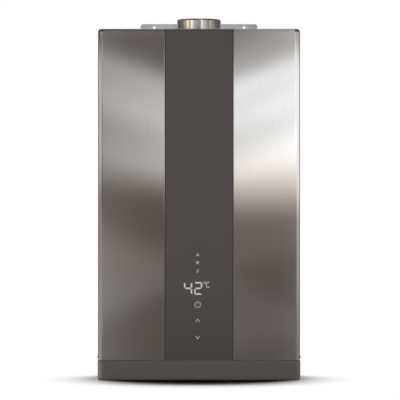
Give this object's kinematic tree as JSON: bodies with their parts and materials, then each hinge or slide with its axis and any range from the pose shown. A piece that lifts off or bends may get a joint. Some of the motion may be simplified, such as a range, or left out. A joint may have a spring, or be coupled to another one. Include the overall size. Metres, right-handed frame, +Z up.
{
  "type": "gas water heater",
  "caption": "Wall-hung instantaneous gas water heater: brushed steel cover with a dark control strip, fan flue, finned exchanger, burner, gas valve and lift-off front.",
  "frame": {"origin": "midway between the two wall holes of the hanging bracket, on the wall plane", "axes": "+X to the right seen from the front, +Y back into the wall, +Z up"},
  "size_m": [0.3554, 0.1766, 0.6284],
  "materials": {
    "brushed_cover_steel": "brushed upright, clear",
    "dark_strip": "smooth dark strip",
    "dark_trim": "fine satin moulding",
    "stainless": "drawn stainless",
    "galvanised": "galvanised sheet",
    "fan_sheet": "galvanised sheet",
    "motor_case": "black enamel",
    "bearing_bronze": "sintered",
    "shaft_steel": "ground",
    "impeller_steel": "plated sheet",
    "copper": "copper with heat tint",
    "burner_steel": "stainless sheet",
    "cast_aluminium": "die cast",
    "brass": "turned brass",
    "coil_black": "moulded",
    "white_plastic": "moulded",
    "black_plastic": "moulded",
    "ceramic": "alumina",
    "lead_red": "silicone",
    "hose_silicone": "silicone",
    "box_plastic": "moulded",
    "circuit_green": "solder mask",
    "seal_rubber": "soft",
    "zinc_screw": "zinc plated",
    "rivet_aluminium": "plain"
  },
  "bodies": {
    "chassis": {"rear_panel": "galvanised", "side_rails": "galvanised", "hanging_bracket": "galvanised", "lower_stay": "galvanised", "top_panel": "galvanised", "bottom_panel": "galvanised", "component_brackets": "galvanised", "flue_gasket": "seal_rubber", "flue_collar": "stainless", "fan_housing": "fan_sheet", "fan_front_plate": "fan_sheet", "fan_motor": "motor_case", "motor_bearings": "bearing_bronze", "gather_hood": "fan_sheet", "exchanger_shell": "copper", "exchanger_fins": "copper", "exchanger_tube": "copper", "combustion_chamber": "copper", "chamber_coil": "copper", "cold_feed_pipe": "copper", "hot_outlet_pipe": "copper", "burner_tray": "burner_steel", "burner_blades": "burner_steel", "gas_manifold": "cast_aluminium", "gas_injectors": "brass", "gas_valve_body": "cast_aluminium", "gas_valve_coils": "coil_black", "gas_inlet_fitting": "brass", "cold_inlet_fitting": "brass", "hot_outlet_fitting": "brass", "fitting_locknuts": "brass", "flow_sensor_body": "brass", "ignition_transformer": "black_plastic", "electrode_insulators": "ceramic", "electrode_rods": "shaft_steel", "ignition_lead": "lead_red", "control_box": "box_plastic", "control_box_lid": "box_plastic", "control_board": "circuit_green", "pressure_switch": "box_plastic", "pressure_hose": "hose_silicone", "overheat_thermostat": "black_plastic", "outlet_thermistor": "brass", "cord_gland": "black_plastic", "cover_screws": "zinc_screw", "case_screws": "zinc_screw", "bracket_rivets": "rivet_aluminium"},
    "front_cover": {"front_cover": "brushed_cover_steel", "control_panel": "dark_strip", "bottom_trim": "dark_trim", "display_holder": "black_plastic", "display_board": "circuit_green", "display_leds": "black_plastic", "touch_pads": "seal_rubber"},
    "fan_rotor": {"fan_shaft": "shaft_steel", "fan_impeller": "impeller_steel"},
    "flow_rotor": {"flow_sensor_rotor": "white_plastic"},
    "main_valve": {"main_valve_plunger": "shaft_steel"},
    "modulating_valve": {"modulating_valve_plunger": "shaft_steel"},
    "drain_plug": {"drain_plug": "black_plastic"}
  },
  "joints": [
    {"name": "cover_slide", "type": "slide", "parent": "chassis", "child": "front_cover", "axis": [0, -1, 0], "range_m": [0, 0.25]},
    {"name": "fan_spin", "type": "hinge", "parent": "chassis", "child": "fan_rotor", "pos_m": [0.046, -0.088, -0.0926], "axis": [0, 1, 0], "continuous": true},
    {"name": "flow_spin", "type": "hinge", "parent": "chassis", "child": "flow_rotor", "pos_m": [0.1143, -0.06, -0.533], "axis": [0, 0, 1], "continuous": true},
    {"name": "main_valve_lift", "type": "slide", "parent": "chassis", "child": "main_valve", "axis": [1, 0, 0], "range_m": [0, 0.003], "stiffness_N_per_m": 400, "springref_m": -0.004},
    {"name": "modulating_valve_lift", "type": "slide", "parent": "chassis", "child": "modulating_valve", "axis": [1, 0, 0], "range_m": [0, 0.003], "stiffness_N_per_m": 300, "springref_m": -0.004},
    {"name": "drain_turn", "type": "hinge", "parent": "chassis", "child": "drain_plug", "pos_m": [0.0763, -0.06, -0.593], "axis": [0, 0, -1], "range_deg": [0, 360]}
  ]
}
